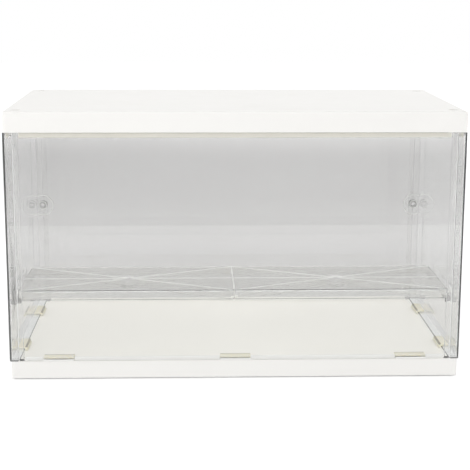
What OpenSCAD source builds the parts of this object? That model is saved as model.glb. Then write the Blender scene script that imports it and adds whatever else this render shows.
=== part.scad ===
/* [Case] */
// Overall width across the clear side walls
case_w = 400; // [320:1:500]
// Overall depth across the front and back panes
case_d = 213; // [180:1:280]
// Height of the clear walls between the base and the cap
wall_h = 203; // [160:1:260]
// Height of the white base above its feet
base_h = 16; // [12:0.5:24]
// Height of the white cap
cap_h = 18; // [12:0.5:26]
// Corner radius of the base and the cap, seen from above
corner_r = 3; // [1:0.5:6]

/* [Clear walls] */
// Thickness of the clear panels
panel_t = 2.6; // [2:0.1:4]
// Width of the strip that each side wall shows at the front and back
strip_w = 8; // [6:0.5:12]
// How far the rebate behind a pane reaches past the strip
rebate_w = 5; // [3:0.5:8]
// Thickness of the rebate behind a pane
rebate_t = 2; // [1.5:0.1:4]
// Clearance round the front and back panes
pane_gap = 0.3; // [0.2:0.05:0.6]
// Depth of the notch at the top of each strip
strip_notch = 2.5; // [1:0.5:6]

/* [Snap buttons] */
// Height of the snap buttons' middle above the floor
button_up = 103; // [60:1:140]
// Radius of the discs inside the case
button_r = 10.5; // [9:0.5:13]
// Thickness of the discs inside the case
button_t = 2; // [1.5:0.5:3]
// Diameter of the round hub on each disc
hub_d = 8; // [5:0.5:12]
// Height of the round hub on each disc
hub_h = 1; // [0.5:0.5:2]
// Diameter of the pins through the seam of the back pane
pin_d = 4; // [3:0.5:5]
// Diameter of the pins' heads in the outer face
pin_head_d = 8; // [6:0.5:9]
// Thickness of the pins' heads
pin_head_t = 1; // [0.8:0.1:1.4]
// Clearance round the snap buttons
button_gap = 0.3; // [0.2:0.05:0.5]

/* [Base] */
// How far the clear walls stand out past the base
base_inset = 1.2; // [0.5:0.1:2]
// Thickness of the base floor
floor_t = 2.5; // [2:0.5:5]
// Thickness of the base skirt
skirt_t = 2.5; // [2:0.5:5]
// Thickness of the stiffening ribs under the floor
base_rib_t = 2; // [1.5:0.5:4]
// Depth of the stiffening ribs under the floor
base_rib_h = 7; // [3:0.5:9]
// Height of the base lip behind the panes, and of the clips
lip_h = 3.4; // [3:0.1:8]
// Thickness of the lips on the base and the cap
lip_t = 2; // [1.5:0.5:3]
// Clearance between the lips and the clear walls
lip_gap = 0.4; // [0.3:0.1:0.8]
// Clearance between the ends of the lips and the corner rebates
lip_end_gap = 1; // [0.5:0.5:4]

/* [Cap] */
// Thickness of the cap's top plate
cap_plate_t = 2.5; // [2:0.5:5]
// How far the cap's lip drops inside the walls
cap_lip_h = 4.5; // [3:0.5:8]

/* [Clips] */
// Width of each clip
clip_w = 27; // [15:1:35]
// Thickness of a clip's upright
clip_t = 2; // [1.5:0.1:3]
// Clearance round the clips
clip_gap = 0.3; // [0.2:0.05:0.5]
// How far a clip's foot reaches inward on the floor
clip_foot = 1; // [0.5:0.5:6]
// Thickness of a clip's foot
clip_foot_t = 1; // [0.8:0.1:2]
// How far a clip's leg reaches below the floor plate
clip_leg = 2.5; // [1:0.5:5]
// Reach of the tongues and flanges under the clips
tongue_reach = 6.5; // [5:0.5:9]
// Thickness of the tongues and flanges under the clips
tongue_t = 1.3; // [1:0.1:1.6]
// Distance of the outer front clips from the ends of the case
clip_end_x = 43.5; // [40:0.5:90]
// Distance of the side clips from the front and back of the case
clip_end_y = 47.5; // [40:0.5:60]

/* [Shelf] */
// Distance of the shelf's front edge from the front of the case
shelf_front = 36; // [20:1:60]
// Depth of the shelf
shelf_d = 94; // [60:1:110]
// Height of the shelf's top above the floor
shelf_top = 55.5; // [35:0.5:110]
// Thickness of the shelf's plate
shelf_t = 2; // [1.5:0.1:4]
// Height of the shelf's skirt and ribs, with the plate
shelf_h = 9; // [6:0.5:16]
// Thickness of the shelf's skirt and ribs
shelf_rib_t = 1.8; // [1.2:0.1:3]
// Diameter of the bosses where the diagonal ribs cross
boss_d = 18; // [8:1:30]
// Clearance between the shelf and its stops
shelf_gap = 0.6; // [0.4:0.1:0.9]
// Clearance between the ends of the shelf and the side walls
shelf_end_gap = 2.2; // [0.6:0.1:3]
// Length of a shelf ledge along the side wall
ledge_l = 16; // [8:1:26]
// How far a shelf ledge stands out from the side wall
ledge_out = 5; // [3:0.5:10]
// Thickness of a shelf ledge
ledge_t = 3; // [2:0.5:6]
// Height and thickness of the stops in front of and behind the shelf
stop_t = 2; // [1.5:0.5:4]

/* [Feet] */
// Diameter of the rubber feet
foot_d = 8; // [6:0.5:12]
// Thickness of the rubber feet
foot_t = 2.5; // [2:0.5:5]
// How far the feet stand out below the base
foot_out = 1; // [0.5:0.5:1.5]
// Distance of a foot's centre from the ends of the base
foot_end = 9; // [8:0.5:16]
// Distance of a foot's centre from the front and back of the base
foot_inset = 14; // [8:0.5:20]
// Wall round a foot's recess
foot_boss_wall = 2; // [1.5:0.5:4]
// Clearance round a foot in its recess, and in the cap's stacking dimple
foot_gap = 0.3; // [0.2:0.1:0.8]

/* [Hidden] */
$fn = 64;
OVERLAP = 0.5;
SIDES = [-1, 1];
WHITE = "#f4f2ee";
CLEAR = "#cdd6d6";
IVORY = "#e4d6b0";
RUBBER = "#8d8d8b";

half_w = case_w / 2;
half_d = case_d / 2;
floor_z = foot_out + base_h;
wall_top = floor_z + wall_h;
cap_top = wall_top + cap_h;
button_z = floor_z + button_up;
inner_x = half_w - panel_t;
inner_y = half_d - panel_t;
base_w = case_w - 2 * base_inset;
base_d = case_d - 2 * base_inset;
pane_half_w = half_w - strip_w - pane_gap;
rebate_x = half_w - strip_w - rebate_w;
rebate_y = inner_y - rebate_t;
seam_x = half_w - strip_w - pane_gap / 2;
lip_half_w = rebate_x - lip_end_gap;
lip_half_d = rebate_y - lip_end_gap;
cap_rim_t = panel_t + lip_gap + lip_t;
head_z = pane_gap + tongue_t + clip_gap;
upright_in = tongue_reach + clip_gap;
front_clip_x = half_w - clip_end_x;
side_clip_y = half_d - clip_end_y;
notch_w = clip_w + 2 * clip_gap;
tongue_w = clip_w - 2 * clip_gap;
foot_x = base_w / 2 - foot_end;
foot_y = base_d / 2 - foot_inset;
shelf_half_w = inner_x - shelf_end_gap;
shelf_y0 = -half_d + shelf_front;
shelf_y1 = shelf_y0 + shelf_d;
shelf_z1 = floor_z + shelf_top;
shelf_z0 = shelf_z1 - shelf_h;
bay_w = shelf_half_w - shelf_rib_t;
bay_d = shelf_d - 2 * shelf_rib_t;
bay_angle = atan2(bay_d, bay_w);

// A box between two corners, given as [from, to] pairs
module block(x, y, z) {
    translate([x[0], y[0], z[0]])
        cube([x[1] - x[0], y[1] - y[0], z[1] - z[0]]);
}

// A flat plate with rounded corners, centred, standing on z = 0
module rounded_plate(w, d, r, h) {
    linear_extrude(h) {
        square([w - 2 * r, d], center = true);
        square([w, d - 2 * r], center = true);
        for (sx = SIDES, sy = SIDES)
            translate([sx * (w / 2 - r), sy * (d / 2 - r)])
                circle(r);
    }
}

// Its children at the middle of each foot
module at_feet(z) {
    for (sx = SIDES, sy = SIDES)
        translate([sx * foot_x, sy * foot_y, z])
            children();
}

// Its children on the inner face of the front or side walls at a clip, with +Y pointing inward
module at_clips() {
    for (x = [-front_clip_x, 0, front_clip_x])
        at_front_clip(x)
            children();
    for (side = SIDES, y = SIDES * side_clip_y)
        at_side_clip(side, y)
            children();
}

module at_front_clip(x) {
    translate([x, -inner_y, floor_z])
        children();
}

module at_side_clip(side, y) {
    translate([side * inner_x, y, floor_z])
        rotate(side * 90)
            children();
}

// White plinth: floor plate, skirt, ribs, foot bosses and the lips behind the panes
module base_tray() {
    color(WHITE)
        difference() {
            union() {
                base_shell();
                base_lips();
                at_feet(foot_out)
                    cylinder(d = foot_d + 2 * (foot_gap + foot_boss_wall), h = base_h - OVERLAP);
            }
            at_feet(foot_out - OVERLAP)
                cylinder(d = foot_d + 2 * foot_gap, h = foot_t - foot_out + OVERLAP);
            at_clips()
                clip_slot();
        }
}

module base_shell() {
    hollow_h = base_h - floor_t;
    difference() {
        translate([0, 0, foot_out])
            rounded_plate(base_w, base_d, corner_r, base_h);
        translate([0, 0, foot_out - OVERLAP])
            rounded_plate(base_w - 2 * skirt_t, base_d - 2 * skirt_t, corner_r, hollow_h + OVERLAP);
    }
    rib_z = [floor_z - floor_t - base_rib_h, floor_z - OVERLAP];
    rib_half_w = base_w / 2 - skirt_t / 2;
    rib_half_d = base_d / 2 - skirt_t / 2;
    for (x = SIDES * front_clip_x / 2)
        block([x - base_rib_t / 2, x + base_rib_t / 2], [-rib_half_d, rib_half_d], rib_z);
    block([-rib_half_w, rib_half_w], [-base_rib_t / 2, base_rib_t / 2], rib_z);
}

module base_lips() {
    lip_y = inner_y - lip_gap - lip_t;
    lip_x = [-lip_half_w, lip_half_w];
    lip_z = [floor_z - OVERLAP, floor_z + lip_h];
    block(lip_x, [lip_y, lip_y + lip_t], lip_z);
    difference() {
        block(lip_x, [-lip_y - lip_t, -lip_y], lip_z);
        for (x = [-front_clip_x, 0, front_clip_x])
            block([x - notch_w / 2, x + notch_w / 2], [-lip_y - lip_t - OVERLAP, OVERLAP - lip_y],
                [floor_z, floor_z + lip_h + OVERLAP]);
    }
}

// Slot through the floor for a clip's leg
module clip_slot() {
    block([-notch_w / 2, notch_w / 2], [upright_in - clip_gap, upright_in + clip_t + clip_gap],
        [-floor_t - OVERLAP, OVERLAP]);
}

// Ivory hook: leg in the floor, foot on the floor, upright and a head over the tongue or flange
module clip() {
    width = [-clip_w / 2, clip_w / 2];
    color(IVORY) {
        block(width, [upright_in, upright_in + clip_t], [-floor_t - clip_leg, lip_h]);
        block(width, [upright_in, upright_in + clip_t + clip_foot], [0, clip_foot_t]);
        block(width, [lip_gap, upright_in + clip_t], [head_z, lip_h]);
    }
}

// White lid: top plate, rim, drop lips and stacking dimples
module top_cap() {
    lip_z = [wall_top - cap_lip_h, wall_top + OVERLAP];
    lip_x = inner_x - lip_gap;
    lip_y = inner_y - lip_gap;
    color(WHITE)
        difference() {
            union() {
                cap_shell();
                for (s = SIDES) {
                    block([-lip_half_w, lip_half_w], s > 0 ? [lip_y - lip_t, lip_y] : [-lip_y, lip_t - lip_y],
                        lip_z);
                    block(s > 0 ? [lip_x - lip_t, lip_x] : [-lip_x, lip_t - lip_x], [-lip_half_d, lip_half_d],
                        lip_z);
                }
            }
            at_feet(cap_top - foot_out)
                cylinder(d = foot_d + 2 * foot_gap, h = foot_out + OVERLAP);
        }
}

module cap_shell() {
    difference() {
        translate([0, 0, wall_top])
            rounded_plate(case_w, case_d, corner_r, cap_h);
        translate([0, 0, wall_top - OVERLAP])
            rounded_plate(case_w - 2 * cap_rim_t, case_d - 2 * cap_rim_t, corner_r,
                cap_h - cap_plate_t + OVERLAP);
    }
}

// Clear side wall on the right: strips, rebates, bottom flange and ledges
module side_wall() {
    color(CLEAR)
        difference() {
            union() {
                side_section();
                block([inner_x - tongue_reach, inner_x + OVERLAP], [-rebate_y, rebate_y],
                    [floor_z, floor_z + tongue_t]);
                shelf_ledges();
            }
            for (s = SIDES)
                block([half_w - strip_w - OVERLAP, inner_x],
                    s > 0 ? [inner_y, half_d + OVERLAP] : [-half_d - OVERLAP, -inner_y],
                    [wall_top - strip_notch, wall_top + OVERLAP]);
            button_cut();
        }
}

module side_section() {
    block([inner_x, half_w], [-half_d, half_d], [floor_z, wall_top]);
    for (s = SIDES) {
        block([half_w - strip_w, half_w], s > 0 ? [inner_y, half_d] : [-half_d, -inner_y],
            [floor_z, wall_top]);
        block([rebate_x, half_w], s > 0 ? [rebate_y, inner_y] : [-inner_y, -rebate_y],
            [floor_z, wall_top]);
    }
}

// Its children on the right seam of the back pane, with +Z pointing outward from the rebate's inner face
module at_button() {
    translate([seam_x, rebate_y, button_z])
        rotate([-90, 0, 0])
            children();
}

// Clear button that clamps the back pane to a side wall: disc, hub, pin and flush outer head
module snap_button() {
    reach = half_d - rebate_y;
    color(CLEAR)
        intersection() {
            at_button() {
                translate([0, 0, -button_t])
                    cylinder(r = button_r, h = button_t);
                translate([0, 0, -button_t - hub_h])
                    cylinder(d = hub_d, h = hub_h + OVERLAP);
                translate([0, 0, -OVERLAP])
                    cylinder(d = pin_d, h = reach + OVERLAP);
                translate([0, 0, reach - pin_head_t])
                    cylinder(d = pin_head_d, h = pin_head_t);
            }
            block([0, inner_x - button_gap], [0, half_d], [floor_z, wall_top]);
        }
}

// Room for a snap button in the right side wall and the back pane
module button_cut() {
    reach = half_d - rebate_y;
    at_button() {
        translate([0, 0, -OVERLAP])
            cylinder(d = pin_d + 2 * button_gap, h = reach + 2 * OVERLAP);
        translate([0, 0, reach - pin_head_t - button_gap])
            cylinder(d = pin_head_d + 2 * button_gap, h = pin_head_t + button_gap + OVERLAP);
    }
}

// Two ledges that carry the shelf's end, each with a stop
module shelf_ledges() {
    ledge_x = [inner_x - ledge_out, inner_x + OVERLAP];
    ledge_z = [shelf_z0 - ledge_t, shelf_z0];
    stop_z = [shelf_z0 - ledge_t, shelf_z0 + stop_t];
    front_stop = shelf_y0 - shelf_gap;
    back_stop = shelf_y1 + shelf_gap;
    block(ledge_x, [front_stop - stop_t, shelf_y0 + ledge_l], ledge_z);
    block(ledge_x, [front_stop - stop_t, front_stop], stop_z);
    block(ledge_x, [shelf_y1 - ledge_l, back_stop + stop_t], ledge_z);
    block(ledge_x, [back_stop, back_stop + stop_t], stop_z);
}

module right_panel() {
    side_wall();
}

module left_panel() {
    mirror([1, 0, 0])
        side_wall();
}

// Plate of a pane between two depths
module pane_plate(y) {
    block([-pane_half_w, pane_half_w], y, [floor_z + pane_gap, wall_top - pane_gap]);
}

// Clear pane at the front: plate and three tongues
module front_panel() {
    color(CLEAR) {
        pane_plate([-half_d, -inner_y]);
        for (x = [-front_clip_x, 0, front_clip_x])
            block([x - tongue_w / 2, x + tongue_w / 2], [-inner_y - OVERLAP, tongue_reach - inner_y],
                [floor_z + pane_gap, floor_z + pane_gap + tongue_t]);
    }
}

// Clear pane at the back, with room for a snap button at each side
module back_panel() {
    color(CLEAR)
        difference() {
            pane_plate([inner_y, half_d]);
            button_cut();
            mirror([1, 0, 0])
                button_cut();
        }
}

// Clear step shelf: plate, skirt, X ribs in two bays and a boss at each crossing
module shelf() {
    width = [-shelf_half_w, shelf_half_w];
    depth = [shelf_y0, shelf_y1];
    mid_y = (shelf_y0 + shelf_y1) / 2;
    half_rib = shelf_rib_t / 2;
    height = [shelf_z0, shelf_z1];
    color(CLEAR) {
        block(width, depth, [shelf_z1 - shelf_t, shelf_z1]);
        block(width, [shelf_y0, shelf_y0 + shelf_rib_t], height);
        block(width, [shelf_y1 - shelf_rib_t, shelf_y1], height);
        block(width, [mid_y - half_rib, mid_y + half_rib], height);
        block([-shelf_half_w, shelf_rib_t - shelf_half_w], depth, height);
        block([-half_rib, half_rib], depth, height);
        block([shelf_half_w - shelf_rib_t, shelf_half_w], depth, height);
        for (s = SIDES)
            translate([s * shelf_half_w / 2, mid_y, shelf_z0])
                shelf_bay();
    }
}

module shelf_bay() {
    length = norm([bay_w, bay_d]);
    intersection() {
        block([-bay_w / 2 - OVERLAP, bay_w / 2 + OVERLAP], [-bay_d / 2 - OVERLAP, bay_d / 2 + OVERLAP],
            [0, shelf_h]);
        for (s = SIDES)
            rotate(s * bay_angle)
                block([-length, length], [-shelf_rib_t / 2, shelf_rib_t / 2], [0, shelf_h]);
    }
    cylinder(d = boss_d, h = shelf_h);
}

module foot(sx, sy) {
    color(RUBBER)
        translate([sx * foot_x, sy * foot_y, 0])
            cylinder(d = foot_d, h = foot_t);
}

base_tray();
top_cap();
left_panel();
right_panel();
front_panel();
back_panel();
shelf();
at_front_clip(-front_clip_x) clip();  // front_clip_left
at_front_clip(0) clip();  // front_clip_middle
at_front_clip(front_clip_x) clip();  // front_clip_right
mirror([1, 0, 0]) snap_button();  // back_button_left
snap_button();  // back_button_right
at_side_clip(-1, -side_clip_y) clip();  // left_clip_front
at_side_clip(-1, side_clip_y) clip();  // left_clip_back
at_side_clip(1, -side_clip_y) clip();  // right_clip_front
at_side_clip(1, side_clip_y) clip();  // right_clip_back
foot(-1, -1);  // foot_front_left
foot(1, -1);  // foot_front_right
foot(-1, 1);  // foot_back_left
foot(1, 1);  // foot_back_right
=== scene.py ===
"""Figurine display case: white base and cap, clear walls, a clear step shelf, ivory clips and rubber feet."""

import math

import bmesh
import bpy
from bpy.props import FloatProperty, FloatVectorProperty, IntProperty, PointerProperty
from bpy.types import Operator, Panel, PropertyGroup
from mathutils import Matrix, Vector


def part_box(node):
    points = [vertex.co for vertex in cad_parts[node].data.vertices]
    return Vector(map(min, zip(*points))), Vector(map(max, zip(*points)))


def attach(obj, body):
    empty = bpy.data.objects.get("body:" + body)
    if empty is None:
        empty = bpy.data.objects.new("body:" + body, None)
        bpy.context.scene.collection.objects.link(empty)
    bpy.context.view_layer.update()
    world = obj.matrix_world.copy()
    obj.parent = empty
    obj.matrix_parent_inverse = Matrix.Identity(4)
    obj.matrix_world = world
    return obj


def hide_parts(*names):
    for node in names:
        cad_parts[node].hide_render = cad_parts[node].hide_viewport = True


bl_info = {
    "name": "Figurine display case",
    "version": (1, 0, 0),
    "blender": (4, 5, 0),
    "location": "3D View > Sidebar > Display case",
    "description": "Dresses the display case's construction model with moulded and clear plastic finishes",
    "category": "Object",
}

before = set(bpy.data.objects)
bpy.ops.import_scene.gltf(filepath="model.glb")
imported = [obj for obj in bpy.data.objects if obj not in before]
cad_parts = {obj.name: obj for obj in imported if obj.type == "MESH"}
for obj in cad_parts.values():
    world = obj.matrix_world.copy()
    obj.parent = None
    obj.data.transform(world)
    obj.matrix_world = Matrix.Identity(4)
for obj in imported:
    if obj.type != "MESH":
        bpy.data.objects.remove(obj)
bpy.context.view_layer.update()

MM = 0.001
WELD = 1e-6
FLAT_ANGLE = math.radians(0.5)
SHARP_ANGLE = math.radians(28)
X_AXIS, Y_AXIS, Z_AXIS = (1, 0, 0), (0, 1, 0), (0, 0, 1)

# Shares of a normal: a face looks along an axis above FACING, and stands upright below UPRIGHT in z
FACING = 0.9
UPRIGHT = 0.1
# The full mark of a dark edge of painted shade, and the slot of the pale finish of painted highlights on a
# wall, a pane or the shelf
DARK = 1.0
HIGHLIGHT_SLOT = 1

# Roughness of the moulded finishes, and what smears add to it
SATIN = 0.36
HIGHLIGHT_ROUGHNESS = 0.5
SMEARS = 0.12
GRAIN_DEPTH = 0.2 * MM
DUST_COLOUR = (0.62, 0.60, 0.56, 1.0)
LAMP_LIGHT_THROUGH = (0.96, 0.965, 0.965, 1.0)
DEPTH_COLOUR = (0.5, 0.53, 0.52, 1.0)

# White that the floor adds for the eye, by place along Y, and by distance where that gives more; its rises
# and dips along Y are painted light and shade seen through the clear walls
FLOOR_REACH = 4.0
FLOOR_WHITE_AND_PAINTED_LIGHT = (
    (-4.0, 0.58), (-1.0, 0.24), (-0.3, 0.26), (0.1, 0.28), (0.35, 0.38), (0.5, 0.43),
    (0.8, 0.22), (1.3, 0.02), (1.7, 0.12), (2.2, 0.36), (2.8, 0.53), (4.0, 0.58),
)
FAR_START, FAR_END, FAR_WHITE = 1.3, 2.6, 0.56
BOARD_REACH = 3.5
BOARD_LIFT = 2 * MM

SENSOR_WIDTH = 36.0
LAMP_SIZE = 1.5
LAMP_AIM = (0.0, 0.0, 0.12)
LAMPS = (
    ("front_lamp", (-0.5, -2.1, 1.2), "front_power"),
    ("back_lamp", (0.3, 2.1, 1.2), "back_power"),
    ("left_lamp", (-2.1, -0.3, 1.1), "side_power"),
    ("right_lamp", (2.1, -0.3, 1.1), "side_power"),
)

CAP_LOW, CAP_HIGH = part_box("top_cap")
BASE_LOW, BASE_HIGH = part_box("base_tray")
WALL_LOW, WALL_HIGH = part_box("right_panel")
FLOOR_Z = WALL_LOW.z

CLIP_TURNS = {"front": 0, "left": -90, "right": 90}
CLIP_NODES = [
    "front_clip_left", "front_clip_middle", "front_clip_right",
    "left_clip_front", "left_clip_back", "right_clip_front", "right_clip_back",
]
FOOT_NODES = ["foot_front_left", "foot_front_right", "foot_back_left", "foot_back_right"]


# Properties

def length(name, description, millimetres):
    """A length property in metres, with its default given in millimetres."""
    return FloatProperty(name=name, description=description, default=millimetres * MM, min=0, unit="LENGTH",
                         precision=5)


def angle(name, description, degrees):
    """An angle property, with its default given in degrees."""
    return FloatProperty(name=name, description=description, default=math.radians(degrees), subtype="ANGLE")


def positive(name, description, default, **options):
    """A number property from zero up."""
    return FloatProperty(name=name, description=description, default=default, min=0, **options)


def colour(name, description, default):
    """A colour property."""
    return FloatVectorProperty(name=name, description=description, default=default, size=3, min=0, max=1,
                               subtype="COLOR")


class CaseShape(PropertyGroup):
    """Sizes that finish the moulded pieces."""
    cap_round: length("Cap rounding", "Radius along the cap's top edge", 1.4)
    base_round: length("Base rounding", "Radius along the base's edges", 0.5)
    trim_round: length("Small rounding", "Radius along the cap's bottom edge, lips and dimples", 0.35)
    clear_chamfer: length("Clear edge", "Width of the chamfer on the clear walls and panes", 0.35)
    corner_round: length("Clear corners", "Radius along the upright front corners of the clear walls", 2.1)
    shelf_chamfer: length("Shelf edge", "Width of the chamfer on the shelf", 0.5)
    # Painted highlight: the white lines along the shelf's ribs
    rib_highlight: length("Rib lines", "Width of the pale lines where the shelf's ribs join its plate", 1.1)
    clear_seat: length("Clear seat", "Gap that keeps touching clear faces apart", 0.04)
    clip_round: length("Clip rounding", "Radius along the edges of a clip", 0.2)
    round_steps: IntProperty(name="Round steps", description="Steps round a foot or a snap button",
                             default=64, min=12, max=96)


class CaseFinish(PropertyGroup):
    """Colours of the finishes."""
    cap_white: colour("Cap", "Warm white of the cap", (0.90, 0.89, 0.865))
    base_white: colour("Base", "Warm white of the base", (0.89, 0.88, 0.855))
    # Painted shade: the cap's dimples are a darker white standing in for the shade inside them
    dimple_painted_shade: colour("Recesses", "Shaded white of the cap's dimples", (0.76, 0.75, 0.725))
    # Painted shade: the cap's lips are its white darkened to a shaded cream, standing in for the shade under
    # the cap
    lip_painted_shade: colour("Lips", "Cream of the cap's lips", (0.80, 0.77, 0.69))
    # Painted light: the base's floor is a cream brighter than the base's white, standing in for light inside
    # the case
    floor_cream_painted_light: colour("Floor", "Cream white of the base's floor", (0.975, 0.952, 0.895))
    # Painted shade: grey in the clear side walls, standing in for the dim room seen through them
    wall_painted_shade: colour("Walls", "Grey tint of the side walls", (0.62, 0.618, 0.613))
    strip_tint: colour("Strips", "Tint of the side walls' corner strips", (0.94, 0.94, 0.936))
    # Painted shade: grey in the clear back pane, standing in for the dim room seen through it
    back_painted_shade: colour("Back", "Grey tint of the back pane", (0.505, 0.501, 0.496))
    front_tint: colour("Front", "Tint of the front pane", (0.985, 0.984, 0.983))
    shelf_tint: colour("Shelf", "Tint of the shelf", (0.95, 0.95, 0.935))
    button_tint: colour("Buttons", "Tint of the snap buttons", (0.95, 0.955, 0.95))
    # Painted shade: near-black mixed into clear pieces along their marked edges
    edge_painted_shade: colour("Clear edges", "Dark tint of the marked edges of clear pieces", (0.02, 0.021, 0.021))
    # Painted highlight: opaque white on chamfers, bottom faces, tongues, button rings and rib lines of clear
    # pieces
    highlight_white: colour("Light edges", "White of the edges and lines that catch light", (0.92, 0.92, 0.91))
    clip_ivory: colour("Clips", "Ivory of the clips", (0.83, 0.785, 0.65))
    foot_grey: colour("Feet", "Grey of the rubber feet", (0.27, 0.27, 0.265))


class CaseStage(PropertyGroup):
    """Camera, lamps and floor."""
    camera_place: FloatVectorProperty(name="Camera", description="Where the camera stands", size=3,
                                      default=(-0.0374, -1.1586, 0.3498), subtype="TRANSLATION",
                                      unit="LENGTH")
    camera_yaw: angle("Yaw", "Turn of the camera to the right", 1.991)
    camera_pitch: angle("Pitch", "Tilt of the camera downward", 11.762)
    camera_roll: angle("Roll", "Roll of the camera", 0.187)
    camera_lens: FloatProperty(name="Lens", description="Focal length on a 36 mm wide sensor", default=94.62,
                               min=1, unit="CAMERA")
    room_light: positive("Room light", "Strength of the even light of the room", 0.53)
    front_power: positive("Front lamp", "Power of the large low lamp in front", 21.5, unit="POWER")
    back_power: positive("Back lamp", "Power of the large low lamp behind", 24, unit="POWER")
    side_power: positive("Side lamps", "Power of each large low lamp at the sides", 11, unit="POWER")
    floor_colour: colour("Floor", "Colour of the studio floor", (0.86, 0.86, 0.86))
    floor_glow: positive("Floor white", "Share of the white that the floor adds for the eye", 1.0, max=2)
    sheet_edge: positive("Sheet edge", "How far the white floor shows in front, in reflections", 0.79,
                         unit="LENGTH")
    # Painted reflection: grey that the sheet shows in reflections
    painted_reflection_grey: colour("Beyond", "Grey that reflections show past the white floor", (0.12, 0.12, 0.12))


# Node helpers

def add(tree, kind, values=None, **options):
    """A new node with its options set, and its inputs linked to outputs or given plain values."""
    node = tree.nodes.new(kind)
    for option, value in options.items():
        setattr(node, option, value)
    for name, value in (values or {}).items():
        if isinstance(value, bpy.types.NodeSocket):
            link(tree, value, node.inputs[name])
        else:
            node.inputs[name].default_value = value
    return node


def link(tree, start, end):
    """Links an output to an input."""
    tree.links.new(start, end)


def maths(tree, operation, first, second, **options):
    """The output of a math node on two outputs or numbers."""
    return add(tree, "ShaderNodeMath", {0: first, 1: second}, operation=operation, **options).outputs[0]


def noise(tree, place, scale, detail, roughness):
    """The tone of a noise texture at a place."""
    values = {"Vector": place, "Scale": scale, "Detail": detail, "Roughness": roughness}
    return add(tree, "ShaderNodeTexNoise", values).outputs["Fac"]


def shader_group(name, defaults, results):
    """An empty shader group that takes a vector and numbers and gives numbers, with its end sockets."""
    group = bpy.data.node_groups.new(name, "ShaderNodeTree")
    group.interface.new_socket("Vector", in_out="INPUT", socket_type="NodeSocketVector")
    for socket, default in defaults.items():
        item = group.interface.new_socket(socket, in_out="INPUT", socket_type="NodeSocketFloat")
        item.default_value = default
    for socket in results:
        group.interface.new_socket(socket, in_out="OUTPUT", socket_type="NodeSocketFloat")
    return group, group.nodes.new("NodeGroupInput").outputs, group.nodes.new("NodeGroupOutput").inputs


def moulded_grain():
    """Fine spark-eroded grain of a mould, as a height, with a slow drift of tone."""
    name = "moulded_grain"
    if name in bpy.data.node_groups:
        return bpy.data.node_groups[name]
    group, given, results = shader_group(name, {"Grain Scale": 2200, "Drift Scale": 9}, ["Height", "Drift"])
    grain = noise(group, given["Vector"], given["Grain Scale"], detail=3.0, roughness=0.55)
    drift = noise(group, given["Vector"], given["Drift Scale"], detail=2.0, roughness=0.5)
    link(group, grain, results["Height"])
    link(group, drift, results["Drift"])
    return group


def handling_marks():
    """Soft smears left by wiping and fingers, as a mask."""
    name = "handling_marks"
    if name in bpy.data.node_groups:
        return bpy.data.node_groups[name]
    group, given, results = shader_group(
        name, {"Patch Scale": 14, "Smear Scale": 60, "Coverage": 0.5}, ["Mask"])
    bare_level, softness = 0.62, 0.25
    patches = noise(group, given["Vector"], given["Patch Scale"], detail=2.0, roughness=0.5)
    stretch = add(group, "ShaderNodeMapping", {"Vector": given["Vector"], "Scale": (1.0, 1.0, 0.25),
                                               "Rotation": (0.0, 0.5, 0.3)})
    smears = noise(group, stretch.outputs["Vector"], given["Smear Scale"], detail=4.0, roughness=0.6)
    low = maths(group, "SUBTRACT", bare_level, given["Coverage"], use_clamp=True)
    spread = add(group, "ShaderNodeMapRange", {
        "Value": maths(group, "MULTIPLY", patches, smears), "From Min": low,
        "From Max": maths(group, "ADD", low, softness)}, interpolation_type="SMOOTHSTEP")
    link(group, spread.outputs["Result"], results["Mask"])
    return group


def settled_dust():
    """Thin dust on faces that look upward, as a mask."""
    name = "settled_dust"
    if name in bpy.data.node_groups:
        return bpy.data.node_groups[name]
    group, given, results = shader_group(name, {"Scale": 40, "Amount": 0.3}, ["Mask"])
    normal = add(group, "ShaderNodeNewGeometry").outputs["Normal"]
    axes = add(group, "ShaderNodeSeparateXYZ", {"Vector": normal})
    upward = add(group, "ShaderNodeMapRange", {"Value": axes.outputs["Z"], "From Min": 0.6, "From Max": 1.0},
                 interpolation_type="SMOOTHSTEP")
    clumps = noise(group, given["Vector"], given["Scale"], detail=6.0, roughness=0.7)
    thin = maths(group, "MULTIPLY", upward.outputs["Result"], clumps)
    link(group, maths(group, "MULTIPLY", thin, given["Amount"], use_clamp=True), results["Mask"])
    return group


def placed_group(tree, group, place, values):
    """A shader group's outputs in a material, reading the piece's own coordinates."""
    return add(tree, "ShaderNodeGroup", {"Vector": place, **values}, node_tree=group).outputs


# Finishes

def new_material(name, values):
    """A material with one Principled shader, its output and the piece's own coordinates."""
    material = bpy.data.materials.new(name)
    material.use_nodes = True
    tree = material.node_tree
    tree.nodes.clear()
    surface = add(tree, "ShaderNodeBsdfPrincipled", values)
    output = add(tree, "ShaderNodeOutputMaterial", {"Surface": surface.outputs["BSDF"]})
    place = add(tree, "ShaderNodeTexCoord").outputs["Object"]
    return material, tree, surface, output, place


def tinted(rgb, factor):
    """An opaque colour, lighter or darker by a factor."""
    return (*(min(1.0, value * factor) for value in rgb), 1.0)


def mixed_colour(tree, mask, low, high):
    """A colour that goes with a mask from low, a colour or another node's output, to high."""
    mix = add(tree, "ShaderNodeMix", {"Factor": mask}, data_type="RGBA")
    sockets = {socket.identifier: socket for socket in (*mix.inputs, *mix.outputs)}
    if isinstance(low, bpy.types.NodeSocket):
        link(tree, low, sockets["A_Color"])
    else:
        sockets["A_Color"].default_value = low
    sockets["B_Color"].default_value = high
    return sockets["Result_Color"]


def drifting(tree, grain, rgb, low, high):
    """A colour that drifts slowly between two shares of itself."""
    return mixed_colour(tree, grain["Drift"], tinted(rgb, low), tinted(rgb, high))


def mapped(tree, value, low, high):
    """A mask spread between two values."""
    return add(tree, "ShaderNodeMapRange", {"Value": value, "To Min": low, "To Max": high}).outputs["Result"]


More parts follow.
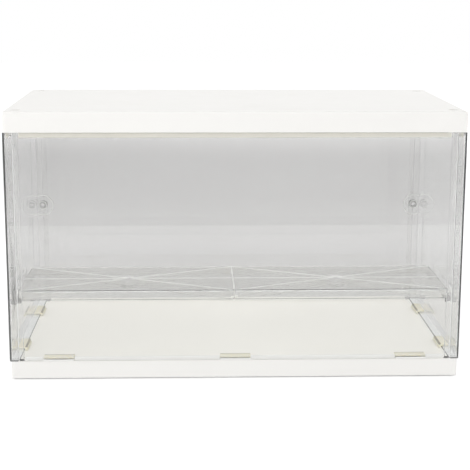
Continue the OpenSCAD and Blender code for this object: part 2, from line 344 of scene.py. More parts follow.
def painted_edge_shade(tree):
    """The mark of a piece's dark edges, where shade is painted."""
    return add(tree, "ShaderNodeAttribute", attribute_name="edge").outputs["Fac"]


def dress(tree, surface, body, roughness, grain, strength, depth=GRAIN_DEPTH):
    """Gives a surface its colour, its roughness and the relief of its grain."""
    bump = add(tree, "ShaderNodeBump", {"Strength": strength, "Distance": depth, "Height": grain["Height"]})
    link(tree, body, surface.inputs["Base Color"])
    link(tree, roughness, surface.inputs["Roughness"])
    link(tree, bump.outputs["Normal"], surface.inputs["Normal"])


def white_plastic(name, rgb, roughness=SATIN):
    """Satin moulded plastic: slow drift of tone, fine grain, faint smears and dust."""
    if name in bpy.data.materials:
        return bpy.data.materials[name]
    material, tree, surface, _, place = new_material(name, {"IOR": 1.49})
    grain = placed_group(tree, moulded_grain(), place, {"Grain Scale": 2200, "Drift Scale": 9})
    marks = placed_group(tree, handling_marks(), place, {"Coverage": 0.4})
    dust = placed_group(tree, settled_dust(), place, {"Amount": 0.12})
    body = drifting(tree, grain, rgb, low=0.985, high=1.015)
    dusty = mixed_colour(tree, dust["Mask"], body, DUST_COLOUR)
    worn = mapped(tree, marks["Mask"], roughness, roughness + SMEARS)
    dress(tree, surface, dusty, worn, grain, strength=0.06)
    return material


def clear_plastic(name, rgb, edge_shade_rgb, absorb=0.0):
    """Clear moulded plastic: tinted through its faces, darker along marked edges as painted shade, and open
    to lamp light.
    """
    if name in bpy.data.materials:
        return bpy.data.materials[name]
    material, tree, surface, output, place = new_material(name, {"IOR": 1.5, "Transmission Weight": 1.0})
    marks = placed_group(tree, handling_marks(), place, {"Coverage": 0.35})
    grain = placed_group(tree, moulded_grain(), place, {"Grain Scale": 900, "Drift Scale": 5})
    body = drifting(tree, grain, rgb, low=0.97, high=1.03)
    # Painted shade along the marked edges
    edged = mixed_colour(tree, painted_edge_shade(tree), body, tinted(edge_shade_rgb, 1.0))
    worn = mapped(tree, marks["Mask"], low=0.008, high=0.03)
    dress(tree, surface, edged, worn, grain, strength=0.004, depth=0.5 * GRAIN_DEPTH)
    light = add(tree, "ShaderNodeLightPath").outputs
    through = add(tree, "ShaderNodeBsdfTransparent", {"Color": LAMP_LIGHT_THROUGH})
    mix = add(tree, "ShaderNodeMixShader", {
        "Fac": maths(tree, "MAXIMUM", light["Is Shadow Ray"], light["Is Diffuse Ray"]),
        1: surface.outputs["BSDF"], 2: through.outputs["BSDF"]})
    link(tree, mix.outputs["Shader"], output.inputs["Surface"])
    if absorb:
        depth = add(tree, "ShaderNodeVolumeAbsorption", {"Color": DEPTH_COLOUR, "Density": absorb})
        link(tree, depth.outputs["Volume"], output.inputs["Volume"])
    return material


def ivory_nylon(name, rgb):
    """Waxy natural nylon with soft scattering, a slow drift of tone and painted shade on its marked faces."""
    material, tree, surface, _, place = new_material(name, {
        "IOR": 1.53, "Subsurface Weight": 0.4, "Subsurface Radius": (0.004, 0.0034, 0.0024),
        "Subsurface Scale": 1.0})
    grain = placed_group(tree, moulded_grain(), place, {"Grain Scale": 1500, "Drift Scale": 120})
    marks = placed_group(tree, handling_marks(), place, {"Coverage": 0.5})
    body = drifting(tree, grain, rgb, low=0.92, high=1.08)
    # Painted shade: marked faces darkened to 0.4 of the ivory
    edged = mixed_colour(tree, painted_edge_shade(tree), body, tinted(rgb, 0.4))
    worn = mapped(tree, marks["Mask"], low=0.4, high=0.55)
    dress(tree, surface, edged, worn, grain, strength=0.1)
    return material


def foot_rubber(name, rgb):
    """Dull grey rubber with an uneven tone and a coarse grain."""
    material, tree, surface, _, place = new_material(name, {"IOR": 1.45})
    grain = placed_group(tree, moulded_grain(), place, {"Grain Scale": 3000, "Drift Scale": 200})
    body = drifting(tree, grain, rgb, low=0.8, high=1.25)
    rough = mapped(tree, grain["Height"], low=0.65, high=0.85)
    dress(tree, surface, body, rough, grain, strength=0.3)
    return material


# Mesh helpers

def anywhere(_):
    return True


def nowhere(_):
    return False


def on_outside(low, high, depth):
    """A test for places within a depth of the four upright sides of a box."""
    def test(co):
        return min(co.x - low.x, high.x - co.x, co.y - low.y, high.y - co.y) < depth
    return test


def whole_copy(node):
    """A construction node's mesh as a welded bmesh with its flat faces whole."""
    shape = bmesh.new()
    shape.from_mesh(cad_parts[node].data)
    bmesh.ops.remove_doubles(shape, verts=shape.verts, dist=WELD)
    bmesh.ops.dissolve_limit(shape, angle_limit=FLAT_ANGLE, verts=shape.verts, edges=shape.edges)
    return shape


def spun(outline, axis, steps):
    """A shape turned from an outline about an axis through the origin."""
    shape = bmesh.new()
    points = [shape.verts.new(place) for place in outline]
    edges = [shape.edges.new(pair) for pair in zip(points, points[1:])]
    bmesh.ops.spin(shape, geom=points + edges, axis=axis, cent=(0, 0, 0), steps=steps, angle=math.tau)
    bmesh.ops.remove_doubles(shape, verts=shape.verts, dist=WELD)
    return shape


def sharp_edges(shape, chosen):
    """The edges that turn sharply and have both ends at chosen places."""
    found = [edge for edge in shape.edges if edge.is_manifold and edge.calc_face_angle() > SHARP_ANGLE]
    return [edge for edge in found if all(chosen(vertex.co) for vertex in edge.verts)]


def round_edges(shape, edges, radius, steps):
    """Rounds edges, or chamfers them in one step, and returns the new faces."""
    made = bmesh.ops.bevel(shape, geom=edges, offset=radius, offset_type="OFFSET", segments=steps,
                           profile=0.5, affect="EDGES", clamp_overlap=False, loop_slide=False,
                           miter_outer="SHARP")
    return made["faces"]


def split(shape, place, way, **options):
    """Splits a shape along a plane, and returns the points and edges of the cut."""
    everything = [*shape.verts, *shape.edges, *shape.faces]
    return bmesh.ops.bisect_plane(shape, geom=everything, plane_co=place, plane_no=way, **options)["geom_cut"]


def draw_in(shape, gap):
    """Draws every face in by a gap, so that touching clear pieces don't share a face."""
    most = 2.0
    shape.normal_update()
    steps = [(vertex, vertex.normal * min(vertex.calc_shell_factor(), most) * gap) for vertex in shape.verts]
    for vertex, step in steps:
        vertex.co -= step


def placed_object(name, data):
    """An object in the scene's collection."""
    holder = bpy.data.objects.new(name, data)
    bpy.context.scene.collection.objects.link(holder)
    return holder


def hide_from(holder, *rays):
    """Hides an object from kinds of rays."""
    for ray in rays:
        setattr(holder, f"visible_{ray}", False)


def new_piece(name, shape, *materials):
    """An object at the origin from a bmesh, shaded smooth up to its sharp edges."""
    for face in shape.faces:
        face.smooth = True
    for edge in shape.edges:
        edge.smooth = not (edge.is_manifold and edge.calc_face_angle() > SHARP_ANGLE)
    mesh = bpy.data.meshes.new(name)
    shape.to_mesh(mesh)
    shape.free()
    for material in materials:
        mesh.materials.append(material)
    return placed_object(name, mesh)


def keep_flats(piece):
    """Weights normals by face area, so that flat faces stay flat beside their rounded edges."""
    weighted = piece.modifiers.new("flat_faces", "WEIGHTED_NORMAL")
    weighted.keep_sharp = True
    weighted.weight = 100


def stand_for(piece, body, slot, *nodes):
    """Rides a finished piece on its body in place of its construction nodes."""
    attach(piece, body)
    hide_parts(*nodes)


def clear_shape(node, chamfer, chosen, dark=nowhere, light=nowhere, corners=None):
    """A clear node's shape with chamfers at chosen places, marked with painted shade where dark and with
    painted highlights where pale, and round corners marked with painted shade.
    """
    sizes = bpy.context.scene.case_shape
    shape = whole_copy(node)
    draw_in(shape, sizes.clear_seat)
    edge_shade_layer = shape.faces.layers.float.new("edge")
    if corners:
        # Painted shade on the rounded front corners
        for face in round_edges(shape, sharp_edges(shape, corners), sizes.corner_round, steps=2):
            face[edge_shade_layer] = DARK
    outward = [edge for edge in sharp_edges(shape, chosen) if edge.is_convex]
    for face in round_edges(shape, outward, chamfer, steps=1):
        if dark(face.calc_center_median()):
            face[edge_shade_layer] = DARK
        # Painted highlight: upright chamfers chosen as light take the pale finish
        elif abs(face.normal.z) < UPRIGHT and light(face.calc_center_median()):
            face.material_index = HIGHLIGHT_SLOT
    return shape


def clear_piece(node, name, body, shape, *materials):
    """A clear piece from its finished shape, standing for its node."""
    bmesh.ops.triangulate(shape, faces=[face for face in shape.faces if len(face.verts) > 4])
    piece = new_piece(name, shape, *materials)
    stand_for(piece, body, "clear_shelf" if node == "shelf" else "clear_wall", node)


def placed_copies_tree():
    """A node tree that sets turned copies of a shape on points and gives them one finish."""
    tree = bpy.data.node_groups.new("placed_copies", "GeometryNodeTree")
    for socket, kind in (("Points", "NodeSocketGeometry"), ("Shape", "NodeSocketObject"),
                         ("Size", "NodeSocketFloat"), ("Finish", "NodeSocketMaterial")):
        tree.interface.new_socket(socket, in_out="INPUT", socket_type=kind)
    tree.interface.new_socket("Copies", in_out="OUTPUT", socket_type="NodeSocketGeometry")
    given = tree.nodes.new("NodeGroupInput").outputs
    shape = add(tree, "GeometryNodeObjectInfo", {"Object": given["Shape"], "As Instance": True})
    turn = add(tree, "GeometryNodeInputNamedAttribute", {"Name": "turn"}, data_type="FLOAT_VECTOR")
    copies = add(tree, "GeometryNodeInstanceOnPoints", {
        "Points": given["Points"], "Instance": shape.outputs["Geometry"],
        "Rotation": turn.outputs["Attribute"], "Scale": given["Size"]})
    real = add(tree, "GeometryNodeRealizeInstances", {"Geometry": copies.outputs["Instances"]})
    finish = add(tree, "GeometryNodeSetMaterial", {
        "Geometry": real.outputs["Geometry"], "Material": given["Finish"]})
    add(tree, "NodeGroupOutput", {"Copies": finish.outputs["Geometry"]})
    return tree


def placed_copies(name, shape, places, material):
    """One plain mesh of a shape repeated at places, each a point and a turn about Z."""
    tree = bpy.data.node_groups.get("placed_copies") or placed_copies_tree()
    mesh = bpy.data.meshes.new(name)
    mesh.from_pydata([point for point, _ in places], [], [])
    turns = mesh.attributes.new("turn", "FLOAT_VECTOR", "POINT")
    for item, (_, turn) in zip(turns.data, places):
        item.vector = (0.0, 0.0, turn)
    source = new_piece(name + "_shape", shape)
    maker = placed_object(name + "_places", mesh)
    modifier = maker.modifiers.new("copies", "NODES")
    modifier.node_group = tree
    values = {"Shape": source, "Size": 1.0, "Finish": material}
    for item in tree.interface.items_tree:
        if item.in_out == "INPUT" and item.name in values:
            modifier[item.identifier] = values[item.name]
    bpy.context.view_layer.update()
    evaluated = maker.evaluated_get(bpy.context.evaluated_depsgraph_get())
    piece = placed_object(name, bpy.data.meshes.new_from_object(evaluated))
    maker.modifiers.remove(modifier)
    for spare in (maker, source):
        bpy.data.objects.remove(spare)
    return piece


# Pieces

class MakeCap(Operator):
    """White cap with rounded outer edges, drop lips and stacking dimples, with shade painted on the lips and
    in the dimples
    """
    bl_idname = "display_case.make_cap"
    bl_label = "Cap"

    def execute(self, context):
        sizes = context.scene.case_shape
        finish = context.scene.case_finish
        near = 0.1 * MM
        rim_z = WALL_HIGH.z
        dimple_z = CAP_HIGH.z - 2 * MM
        outside = on_outside(CAP_LOW, CAP_HIGH, 1 * MM)
        beside = on_outside(CAP_LOW, CAP_HIGH, 3 * MM)
        lip_shade_slot, dimple_shade_slot = 1, 2
        roundings = (
            (lambda co: outside(co) and co.z > CAP_HIGH.z - near, sizes.cap_round, 4),
            (lambda co: outside(co) and abs(co.z - rim_z) < near, sizes.trim_round, 2),
            (lambda co: co.z < rim_z - near, sizes.trim_round, 2),
            (lambda co: co.z > dimple_z and not beside(co), sizes.trim_round, 2),
        )
        shape = whole_copy("top_cap")
        for chosen, radius, steps in roundings:
            round_edges(shape, sharp_edges(shape, chosen), radius, steps)
        for face in shape.faces:
            middle = face.calc_center_median()
            # Painted shade: the lips below the rim take the shaded cream
            if middle.z < rim_z - near:
                face.material_index = lip_shade_slot
            # Painted shade: the dimples' faces take the darker white
            elif dimple_z - near < middle.z < CAP_HIGH.z - near and not beside(middle):
                face.material_index = dimple_shade_slot
        piece = new_piece("cap", shape, white_plastic("cap_finish", finish.cap_white),
                          white_plastic("lip_finish", finish.lip_painted_shade),
                          white_plastic("recess_finish", finish.dimple_painted_shade))
        keep_flats(piece)
        stand_for(piece, "cap_body", "cap_white", "top_cap")
        return {"FINISHED"}


class MakeBase(Operator):
    """White base with a cream floor painted brighter than the base as painted light, lips behind the panes
    and clip slots
    """
    bl_idname = "display_case.make_base"
    bl_label = "Base"

    def execute(self, context):
        finish = context.scene.case_finish
        near = 0.5 * MM
        lip_z = FLOOR_Z + 1 * MM
        outside = on_outside(BASE_LOW, BASE_HIGH, 1 * MM)
        floor_light_slot = 1
        shape = whole_copy("base_tray")
        round_edges(shape, sharp_edges(shape, lambda co: outside(co) or co.z > lip_z),
                    context.scene.case_shape.base_round, steps=2)
        for face in shape.faces:
            # Painted light: the floor faces take the brighter cream
            if face.normal.z > FACING and abs(face.calc_center_median().z - FLOOR_Z) < near:
                face.material_index = floor_light_slot
        piece = new_piece("base", shape, white_plastic("base_finish", finish.base_white),
                          white_plastic("floor_finish", finish.floor_cream_painted_light))
        keep_flats(piece)
        stand_for(piece, "case_body", "base_white", "base_tray")
        return {"FINISHED"}


def away_from_buttons(co):
    """Whether a place lies clear of the seats of the back pane's snap buttons."""
    low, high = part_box("back_button_right")
    seat_depth, seat_reach = 4 * MM, 5 * MM
    return co.y < low.y + seat_depth or abs(co.z - (low.z + high.z) / 2) > seat_reach


def button_shape(side, steps):
    """One snap button: a dished disc with a ringed hub, a pin and an outer head, cut flat beside the wall."""
    low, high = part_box("back_button_right")
    disc, hub, pin, head = (high.z - low.z) / 2, 4 * MM, 2 * MM, 4 * MM
    round_off = dish = 0.4 * MM
    disc_front, disc_back, behind_disc = 1 * MM, 2.95 * MM, 3 * MM
    reach = high.y - low.y
    head_front = reach - 1 * MM
    pin_face = 0.9 * pin
    back_shade_slot, highlight_ring_slot = 1, 2
    outline = [
        (0.0, dish), (pin, dish), (pin + dish, 0.0), (hub - round_off, 0.0), (hub, round_off),
        (hub, disc_front), (disc - round_off, disc_front), (disc, disc_front + round_off),
        (disc, disc_back), (pin, disc_back), (pin, head_front), (head, head_front),
        (head, reach - round_off), (head - round_off, reach), (0.0, reach),
    ]
    shape = spun([(r, y, 0) for r, y in outline], Y_AXIS, steps)
    middle_x = low.x + disc
    cut = split(shape, (high.x - middle_x, 0, 0), X_AXIS, clear_outer=True)
    bmesh.ops.holes_fill(shape, edges=[item for item in cut if isinstance(item, bmesh.types.BMEdge)])
    # Painted highlight: the rim and hub rings take the pale finish; painted shade: the back and the pin take
    # the back pane's grey
    for face in shape.faces:
        middle = face.calc_center_median()
        away = math.hypot(middle.x, middle.z)
        on_ring = disc - round_off < away < disc or abs(away - hub) < round_off
        if on_ring and middle.y < disc_front + round_off:
            face.material_index = highlight_ring_slot
        elif middle.y > behind_disc or away < pin_face:
            face.material_index = back_shade_slot
    bmesh.ops.translate(shape, verts=shape.verts, vec=(middle_x, low.y, (low.z + high.z) / 2))
    if side < 0:
        bmesh.ops.scale(shape, verts=shape.verts, vec=(-1, 1, 1))
    bmesh.ops.recalc_face_normals(shape, faces=shape.faces)
    return shape


class MakeSideWalls(Operator):
    """Clear side walls with corner strips, a bottom flange and shelf ledges, with painted shade and painted
    highlights
    """
    bl_idname = "display_case.make_side_walls"
    bl_label = "Side walls"

    def execute(self, context):
        finish = context.scene.case_finish
        sizes = context.scene.case_shape
        materials = (
            clear_plastic("wall_finish", finish.wall_painted_shade, finish.edge_painted_shade),
            white_plastic("light_edge_finish", finish.highlight_white, HIGHLIGHT_ROUGHNESS),
            clear_plastic("strip_finish", finish.strip_tint, finish.edge_painted_shade),
            clear_plastic("back_finish", finish.back_painted_shade, finish.edge_painted_shade),
        )
        strip_slot, back_shade_slot = 2, 3
        strip_end_shade, back_strip_shade = 0.9, 0.4
        near = 0.2 * MM
        notch = 4 * MM
        strip = 5 * MM
        corner_clear = 1.5 * near + sizes.corner_round
        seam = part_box("back_panel")[1].x
        inner = WALL_HIGH.x - (WALL_HIGH.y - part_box("back_panel")[0].y)
        flange_top = FLOOR_Z + 1.5 * MM
        flange_root = WALL_HIGH.x - 2.5 * MM
        flange_end = WALL_HIGH.x - 8.6 * MM

        def front_corner(co):
            return abs(co.x) > WALL_HIGH.x - near and co.y < WALL_LOW.y + near

        def chosen(co):
            past = max(abs(co.x) - WALL_HIGH.x, WALL_LOW.y - co.y)
            return away_from_buttons(co) and past < -corner_clear

        for side, way in (("left", -1), ("right", 1)):
            shape = clear_shape(f"{side}_panel", sizes.clear_chamfer, chosen, corners=front_corner)
            edge_shade_layer = shape.faces.layers.float["edge"]
            split(shape, (way * seam, 0, 0), X_AXIS)
            split(shape, (way * inner, 0, 0), X_AXIS)
            split(shape, (0, WALL_LOW.y + strip, 0), Y_AXIS)
            split(shape, (0, 0, flange_top), Z_AXIS)
            for face in shape.faces:
                middle = face.calc_center_median()
                # Painted shade on the top and bottom ends of the corner strips
                ends = middle.z > WALL_HIGH.z - notch or middle.z < flange_top
                if ends and middle.y < WALL_LOW.y + strip:
                    face.material_index = strip_slot
                    face[edge_shade_layer] = strip_end_shade
                # Painted highlight: the walls' bottom faces take the opaque pale finish
                elif face.normal.z < -FACING and middle.z < FLOOR_Z + near:
                    face.material_index = HIGHLIGHT_SLOT
                # Painted shade: the walls' back strips take the back pane's grey
                elif middle.y > WALL_HIGH.y - strip and abs(middle.x) > seam:
                    face.material_index = back_shade_slot
                    # Painted shade on the back face of the back strip
                    if abs(middle.x) > inner and face.normal.y > FACING:
                        face[edge_shade_layer] = back_strip_shade
                elif abs(middle.y) > WALL_HIGH.y - strip:
                    face.material_index = strip_slot
                elif middle.z < flange_top and abs(middle.x) < flange_root:
                    face.material_index = strip_slot
                    # Painted shade: dark lines along the flange
                    if abs(middle.x) < flange_end:
                        face[edge_shade_layer] = DARK
            clear_piece(f"{side}_panel", f"{side}_wall", "case_body", shape, *materials)
        return {"FINISHED"}


class MakePanes(Operator):
    """Clear front pane with its tongues, clear back pane and its two snap buttons, with painted shade and
    painted highlights
    """
    bl_idname = "display_case.make_panes"
    bl_label = "Panes"

    def execute(self, context):
        finish = context.scene.case_finish
        sizes = context.scene.case_shape
        back = clear_plastic("back_finish", finish.back_painted_shade, finish.edge_painted_shade)
        button = clear_plastic("button_finish", finish.button_tint, finish.edge_painted_shade)
        front = clear_plastic("front_finish", finish.front_tint, finish.edge_painted_shade)
        highlight = white_plastic("light_edge_finish", finish.highlight_white, HIGHLIGHT_ROUGHNESS)
        clear_piece("back_panel", "back_pane", "case_body",
                    clear_shape("back_panel", sizes.clear_chamfer, away_from_buttons), back)
        for side, name in ((-1, "left"), (1, "right")):
            shape = button_shape(side, sizes.round_steps)
            clear_piece(f"back_button_{name}", f"{name}_button", "case_body", shape, button, back, highlight)
        # Painted highlights on the front pane's upright chamfers
        shape = clear_shape("front_panel", sizes.clear_chamfer, anywhere, light=anywhere)
        leaning = 0.5
        root_z, tongue_z = FLOOR_Z + 1.7 * MM, FLOOR_Z + 3 * MM
        spans = [[corner.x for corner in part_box(node)] for node in CLIP_NODES[:3]]
        split(shape, (0, 0, root_z), Z_AXIS)
        for span in spans:
            for x in span:
                split(shape, (x, 0, 0), X_AXIS)
        # Painted light: the tongues' undersides and their roots at the clips take the pale finish in place of
        # their shade
        for face in shape.faces:
            middle = face.calc_center_median()
            at_clip = any(left < middle.x < right for left, right in spans)
            on_root = at_clip and face.normal.y < -leaning and middle.z < root_z
            if on_root or (face.normal.z < -FACING and middle.z < tongue_z):
                face.material_index = HIGHLIGHT_SLOT
        clear_piece("front_panel", "front_pane", "front_body", shape, front, highlight)
        return {"FINISHED"}


def rib_highlights(shape, width):
    """Adds painted highlight lines inside the shelf's plate along its ribs: two crossed bays and the middle
    ribs.
    """
    low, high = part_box("shelf")
    thick = 0.7 * MM
    inset = 1.5 * MM
    level = high.z - 1 * MM
    middle = (low + high) / 2
    left, right, front, back = low.x + inset, high.x - inset, low.y + inset, high.y - inset
    ends = [((left, middle.y), (right, middle.y)), ((middle.x, front), (middle.x, back))]
    for near, far in ((left, middle.x - inset), (middle.x + inset, right)):
        ends += [((near, front), (far, back)), ((near, back), (far, front))]
    for start, finish in ends:
        start, finish = Vector((*start, level)), Vector((*finish, level))
        along = finish - start
        place = Matrix.Translation((start + finish) / 2)
        turn = Matrix.Rotation(math.atan2(along.y, along.x), 4, "Z")
        size = Matrix.Diagonal((along.length, width, thick, 1.0))
        made = bmesh.ops.create_cube(shape, size=1, matrix=place @ turn @ size)
        for face in {face for vertex in made["verts"] for face in vertex.link_faces}:
            face.material_index = HIGHLIGHT_SLOT


class MakeShelf(Operator):
    """Clear step shelf with a skirt, X ribs and bosses, with painted shade along its front edge and painted
    highlights along its ribs and upright chamfers
    """
    bl_idname = "display_case.make_shelf"
    bl_label = "Shelf"

    def execute(self, context):
        finish = context.scene.case_finish
        sizes = context.scene.case_shape
        low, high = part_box("shelf")
        rim, front_rim = 0.5 * MM, 1 * MM
        # Painted shade along the front edge, painted highlights on the upright chamfers
        shape = clear_shape("shelf", sizes.shelf_chamfer, on_outside(low, high, rim),
                            dark=lambda co: co.y < low.y + front_rim, light=anywhere)
        rib_highlights(shape, sizes.rib_highlight)
        clear_piece("shelf", "step_shelf", "shelf_body", shape,
                    clear_plastic("shelf_finish", finish.shelf_tint, finish.edge_painted_shade, absorb=0.3),
                    white_plastic("rib_line_finish", finish.highlight_white, HIGHLIGHT_ROUGHNESS))
        return {"FINISHED"}


def clip_shape(radius):
    """One clip, from its wall side inward along +Y, with its leg's foot at z = 0."""
    low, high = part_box("front_clip_middle")
    half = (high.x - low.x) / 2
    shade_band_y, shade_band_z = 6.6 * MM, 7.6 * MM
    outline = [
        (6.7, 0.0), (8.1, 0.0), (8.4, 0.8), (8.4, 5.0), (9.4, 5.0), (9.4, 6.0), (8.8, 6.0), (8.4, 6.4),
        (8.4, 7.8), (7.8, 8.4), (0.6, 8.4), (0.0, 7.8), (0.0, 6.9), (6.0, 6.9), (6.4, 6.5), (6.4, 0.8),
    ]
    shape = bmesh.new()
    near = [shape.verts.new((-half, y * MM, z * MM)) for y, z in outline]
    grown = bmesh.ops.extrude_face_region(shape, geom=[shape.faces.new(near)])
    far = [item for item in grown["geom"] if isinstance(item, bmesh.types.BMVert)]
    bmesh.ops.translate(shape, verts=far, vec=(2 * half, 0, 0))
    bmesh.ops.recalc_face_normals(shape, faces=shape.faces)
    round_edges(shape, sharp_edges(shape, anywhere), radius, steps=2)
    # Painted shade: a dark band along the top of the clip's inner end
    split(shape, (0, shade_band_y, 0), Y_AXIS)
    edge_shade_layer = shape.faces.layers.float.new("edge")
    for face in shape.faces:
        middle = face.calc_center_median()
        if middle.y > shade_band_y and middle.z > shade_band_z:
            face[edge_shade_layer] = DARK
    return shape


def clip_place(node):
    """Where a clip's wall side meets its middle, and its turn about Z."""
    side = node.split("_")[0]
    low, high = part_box(node)
    middle = (low + high) / 2
    places = {"front": (middle.x, low.y), "left": (low.x, middle.y), "right": (high.x, middle.y)}
    return (*places[side], low.z), math.radians(CLIP_TURNS[side])


class MakeClips(Operator):
    """Seven ivory clips that hold the front pane and the side walls on the base"""
    bl_idname = "display_case.make_clips"
    bl_label = "Clips"

    def execute(self, context):
        material = ivory_nylon("clip_finish", context.scene.case_finish.clip_ivory)
        shape = clip_shape(context.scene.case_shape.clip_round)
        piece = placed_copies("clips", shape, [clip_place(node) for node in CLIP_NODES], material)
        stand_for(piece, "case_body", "clip_ivory", *CLIP_NODES)
        return {"FINISHED"}


def foot_shape(steps):
    """One rubber foot standing on z = 0, with a shallow dish and a rounded rim."""
    low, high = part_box("foot_front_left")
    radius = (high.x - low.x) / 2
    thick = high.z - low.z
    dish, dish_flat, dish_rim = 0.3 * MM, radius * 0.4, radius * 0.48
    rim_in, rim_up = 0.8 * MM, 0.7 * MM
    bend_in, bend_up = 0.25 * MM, 0.2 * MM
    outline = [
        (0.0, dish), (dish_flat, dish), (dish_rim, 0.0), (radius - rim_in, 0.0),
        (radius - bend_in, bend_up), (radius, rim_up), (radius, thick), (0.0, thick),
    ]
    shape = spun([(r, 0, z) for r, z in outline], Z_AXIS, steps)
    bmesh.ops.recalc_face_normals(shape, faces=shape.faces)
    return shape


class MakeFeet(Operator):
    """Four rubber feet in the base's recesses"""
    bl_idname = "display_case.make_feet"
    bl_label = "Feet"

    def execute(self, context):
        material = foot_rubber("foot_finish", context.scene.case_finish.foot_grey)
        places = []
        for node in FOOT_NODES:
            low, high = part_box(node)
            middle = (low + high) / 2
            places.append(((middle.x, middle.y, low.z), 0.0))
        piece = placed_copies("feet", foot_shape(context.scene.case_shape.round_steps), places, material)
        stand_for(piece, "case_body", "foot_rubber", *FOOT_NODES)
        return {"FINISHED"}


# Stage

def white_to_eye(tree):
    """One where the camera, a reflection or clear plastic looks, and zero where light is gathered."""
    light = add(tree, "ShaderNodeLightPath").outputs
    first = maths(tree, "MAXIMUM", light["Is Camera Ray"], light["Is Glossy Ray"])
    return maths(tree, "MAXIMUM", first, light["Is Transmission Ray"])


def studio_floor(stage):
    """Pale floor that keeps the case's shadow and reads white to the eye, with painted light that changes
    along Y.
    """
    material, tree, surface, output, place = new_material(
        "studio_floor", {"Roughness": 0.9, "Specular IOR Level": 0.0})
    grain = placed_group(tree, moulded_grain(), place, {"Grain Scale": 500, "Drift Scale": 3})
    body = drifting(tree, grain, stage.floor_colour, low=0.99, high=1.01)
    link(tree, body, surface.inputs["Base Color"])
    axes = add(tree, "ShaderNodeSeparateXYZ", {"Vector": place})
    depth = add(tree, "ShaderNodeMapRange", {
        "Value": axes.outputs["Y"], "From Min": -FLOOR_REACH, "From Max": FLOOR_REACH})
    ramp = add(tree, "ShaderNodeValToRGB", {"Fac": depth.outputs["Result"]})
    stops = ramp.color_ramp.elements
    while len(stops) < len(FLOOR_WHITE_AND_PAINTED_LIGHT):
        stops.new(0.5)
    for stop, (y, white) in zip(stops, FLOOR_WHITE_AND_PAINTED_LIGHT):
        stop.position = (y + FLOOR_REACH) / (2 * FLOOR_REACH)
        stop.color = tinted((white, white, white), stage.floor_glow)
    away = add(tree, "ShaderNodeVectorMath", {0: place}, operation="LENGTH")
    far = add(tree, "ShaderNodeMapRange", {
        "Value": away.outputs["Value"], "From Min": FAR_START, "From Max": FAR_END,
        "To Max": FAR_WHITE * stage.floor_glow})
    level = maths(tree, "MAXIMUM", ramp.outputs["Color"], far.outputs["Result"])
    glow = add(tree, "ShaderNodeEmission", {"Strength": maths(tree, "MULTIPLY", white_to_eye(tree), level)})
    both = add(tree, "ShaderNodeAddShader", {0: surface.outputs["BSDF"], 1: glow.outputs["Emission"]})
    link(tree, both.outputs["Shader"], output.inputs["Surface"])
    return material


def beyond_sheet(stage):
    """Grey board that only reflections see, where the white floor in front of the case ends: a painted
    reflection of a darker room.
    """
    material, tree, surface, _, place = new_material("beyond_sheet", {"Roughness": 0.9})
    grain = placed_group(tree, moulded_grain(), place, {"Drift Scale": 2})
    body = drifting(tree, grain, stage.painted_reflection_grey, low=0.9, high=1.1)
    link(tree, body, surface.inputs["Base Color"])
    front, back = -BOARD_REACH, -stage.sheet_edge
    corners = [(-BOARD_REACH, front), (BOARD_REACH, front), (BOARD_REACH, back), (-BOARD_REACH, back)]
    shape = bmesh.new()
    shape.faces.new([shape.verts.new((x, y, BOARD_LIFT)) for x, y in corners])
    board = new_piece("beyond_sheet", shape, material)
    hide_from(board, "camera", "diffuse", "transmission", "shadow")
    return board


def room_world(strength):
    """Even room light, white where the camera, a reflection or clear plastic looks out."""
    world = bpy.data.worlds.new("room")
    world.use_nodes = True
    tree = world.node_tree
    tree.nodes.clear()
    level = mapped(tree, white_to_eye(tree), low=strength, high=1.0)
    background = add(tree, "ShaderNodeBackground", {"Color": (1.0, 1.0, 1.0, 1.0), "Strength": level})
    add(tree, "ShaderNodeOutputWorld", {"Surface": background.outputs["Background"]})
    return world


def soft_lamp(name, place, power):
    """A large square lamp at a place, turned to the case, that shows in no view or reflection."""
    lamp = bpy.data.lights.new(name, "AREA")
    lamp.shape = "SQUARE"
    lamp.size = LAMP_SIZE
    lamp.energy = power
    holder = placed_object(name, lamp)
    holder.location = place
    holder.rotation_euler = (Vector(LAMP_AIM) - Vector(place)).to_track_quat("-Z", "Y").to_euler()
    hide_from(holder, "camera", "glossy", "transmission")


def photo_camera(stage):
    """The camera at the photograph's place, turn and lens."""
    yaw, pitch, roll = stage.camera_yaw, stage.camera_pitch, stage.camera_roll
    forward = Vector((math.sin(yaw) * math.cos(pitch), math.cos(yaw) * math.cos(pitch), -math.sin(pitch)))
    right = Vector((math.cos(yaw), -math.sin(yaw), 0.0))
    up = right.cross(forward)
    turned_right = math.cos(roll) * right + math.sin(roll) * up
    turned_up = math.cos(roll) * up - math.sin(roll) * right
    camera = bpy.data.cameras.new("photo_camera")
    camera.sensor_fit = "HORIZONTAL"
    camera.sensor_width = SENSOR_WIDTH
    camera.lens = stage.camera_lens
    holder = placed_object("photo_camera", camera)
    axes = Matrix((turned_right, turned_up, -forward)).transposed().to_4x4()
    holder.matrix_world = Matrix.Translation(stage.camera_place) @ axes
    return holder


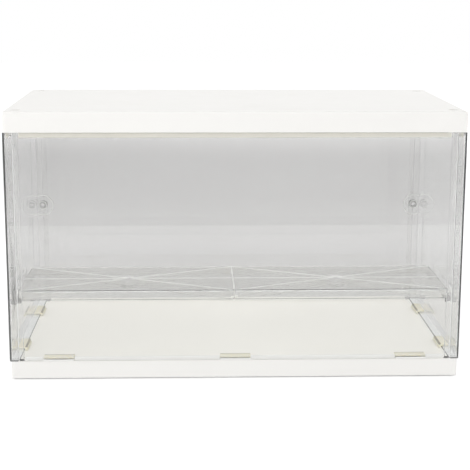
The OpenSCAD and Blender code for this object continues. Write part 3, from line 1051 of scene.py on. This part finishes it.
class MakeStage(Operator):
    """Pale floor, soft lamps, even room light and the photograph's camera"""
    bl_idname = "display_case.make_stage"
    bl_label = "Stage"

    def execute(self, context):
        scene = context.scene
        stage = scene.case_stage
        scene.camera = photo_camera(stage)
        scene.view_settings.view_transform = "Standard"
        scene.world = room_world(stage.room_light)
        shape = bmesh.new()
        bmesh.ops.create_grid(shape, x_segments=1, y_segments=1, size=FLOOR_REACH)
        floor = new_piece("studio_floor", shape, studio_floor(stage))
        # Painted reflection: a dark sheet that only reflections see
        beyond_sheet(stage)
        for name, place, power in LAMPS:
            soft_lamp(name, place, getattr(stage, power))
        # Rays cross many clear faces
        scene.cycles.max_bounces = 24
        scene.cycles.glossy_bounces = 16
        scene.cycles.transmission_bounces = 24
        return {"FINISHED"}


PIECE_OPERATORS = (MakeCap, MakeBase, MakeSideWalls, MakePanes, MakeShelf, MakeClips, MakeFeet)


class DisplayCasePanel(Panel):
    """Sizes, colours and makers of the display case"""
    bl_idname = "VIEW3D_PT_display_case"
    bl_label = "Display case"
    bl_space_type = "VIEW_3D"
    bl_region_type = "UI"
    bl_category = "Display case"

    def draw(self, context):
        for group in (context.scene.case_shape, context.scene.case_finish, context.scene.case_stage):
            box = self.layout.box()
            for name in group.bl_rna.properties.keys():
                if name not in ("rna_type", "name"):
                    box.prop(group, name)
        for maker in (MakeStage, *PIECE_OPERATORS):
            self.layout.operator(maker.bl_idname)


PROPERTY_GROUPS = {"case_shape": CaseShape, "case_finish": CaseFinish, "case_stage": CaseStage}
CLASSES = (*PROPERTY_GROUPS.values(), MakeStage, *PIECE_OPERATORS, DisplayCasePanel)


def register():
    for item in CLASSES:
        bpy.utils.register_class(item)
    for name, group in PROPERTY_GROUPS.items():
        setattr(bpy.types.Scene, name, PointerProperty(type=group))


def unregister():
    for name in PROPERTY_GROUPS:
        delattr(bpy.types.Scene, name)
    for item in reversed(CLASSES):
        bpy.utils.unregister_class(item)


def main():
    register()
    for maker in (MakeStage, *PIECE_OPERATORS):
        family, action = maker.bl_idname.split(".")
        getattr(getattr(bpy.ops, family), action)()


if __name__ == "__main__":
    main()
